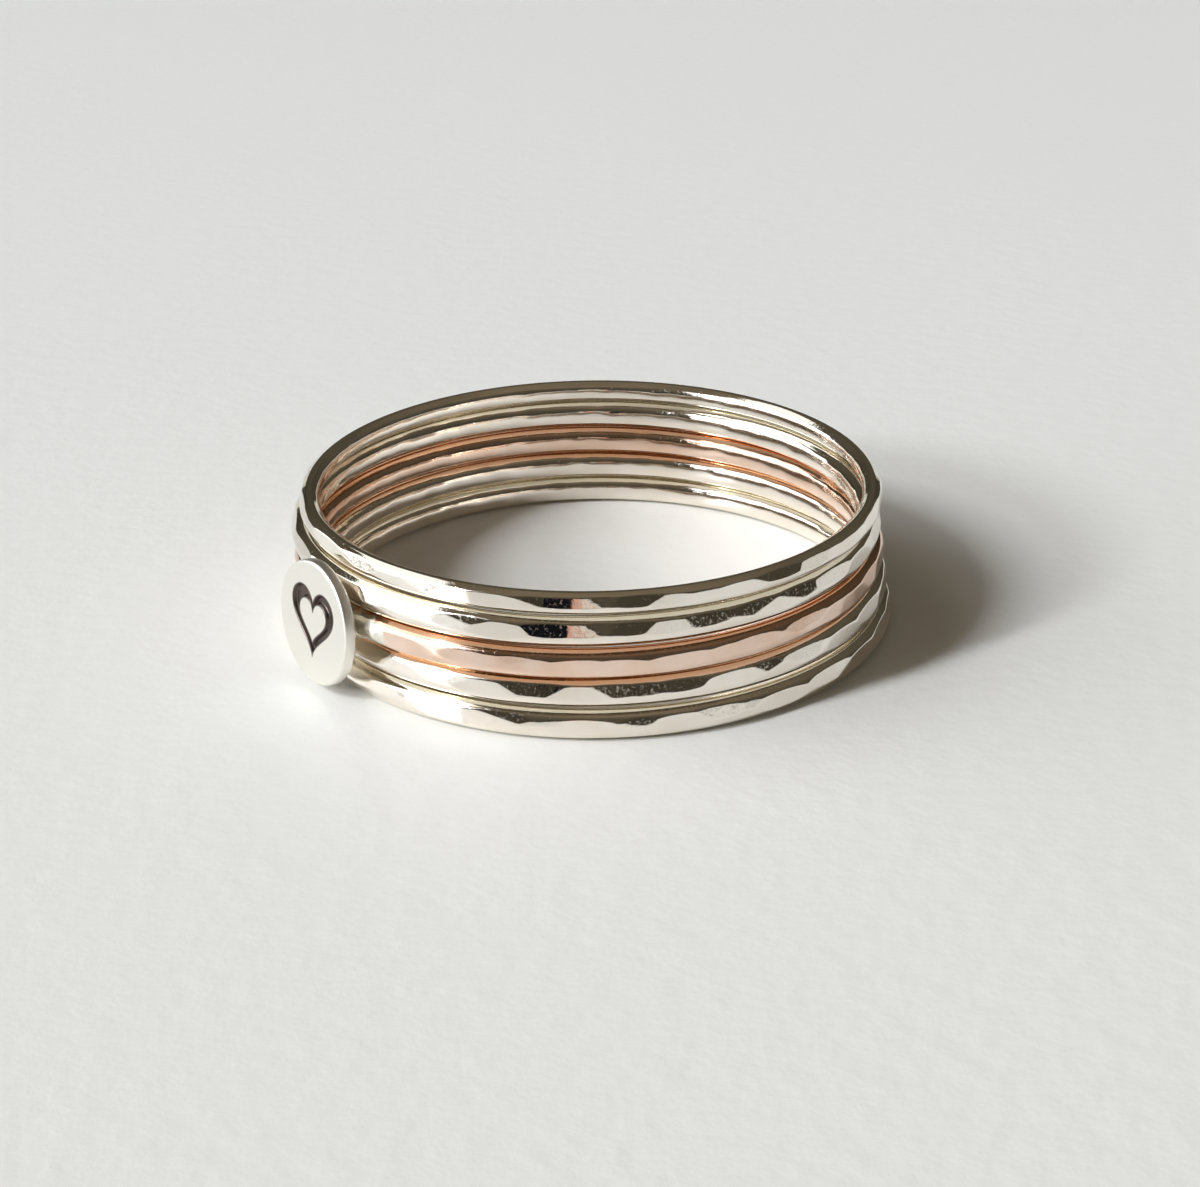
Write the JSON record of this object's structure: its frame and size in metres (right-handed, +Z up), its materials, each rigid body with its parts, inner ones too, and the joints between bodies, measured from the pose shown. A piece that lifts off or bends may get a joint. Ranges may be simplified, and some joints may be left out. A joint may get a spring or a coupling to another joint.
{
  "type": "stacked finger ring with a stamped disc",
  "caption": "Slim hammered silver bands stacked round one rose gold band that carries a small round stamped disc; worn together as a single finger ring.",
  "frame": {"origin": "the finger hole's axis, at the surface that the lowest band rests on", "axes": "+Z up along the finger hole's axis; -Y towards the camera of the picture, with the disc to the left of it; +X to the camera's right"},
  "size_m": [0.0198, 0.0196, 0.0047],
  "materials": {
    "silver": "sterling silver wire, hammered and polished bright",
    "rose_gold": "rose gold wire, hammered and polished bright, with a satin silver disc soldered on"
  },
  "bodies": {
    "root": {"top_silver_band": "silver", "upper_silver_band": "silver", "rose_gold_disc_band": "rose_gold", "lower_silver_band": "silver", "bottom_silver_band": "silver"}
  },
  "joints": []
}
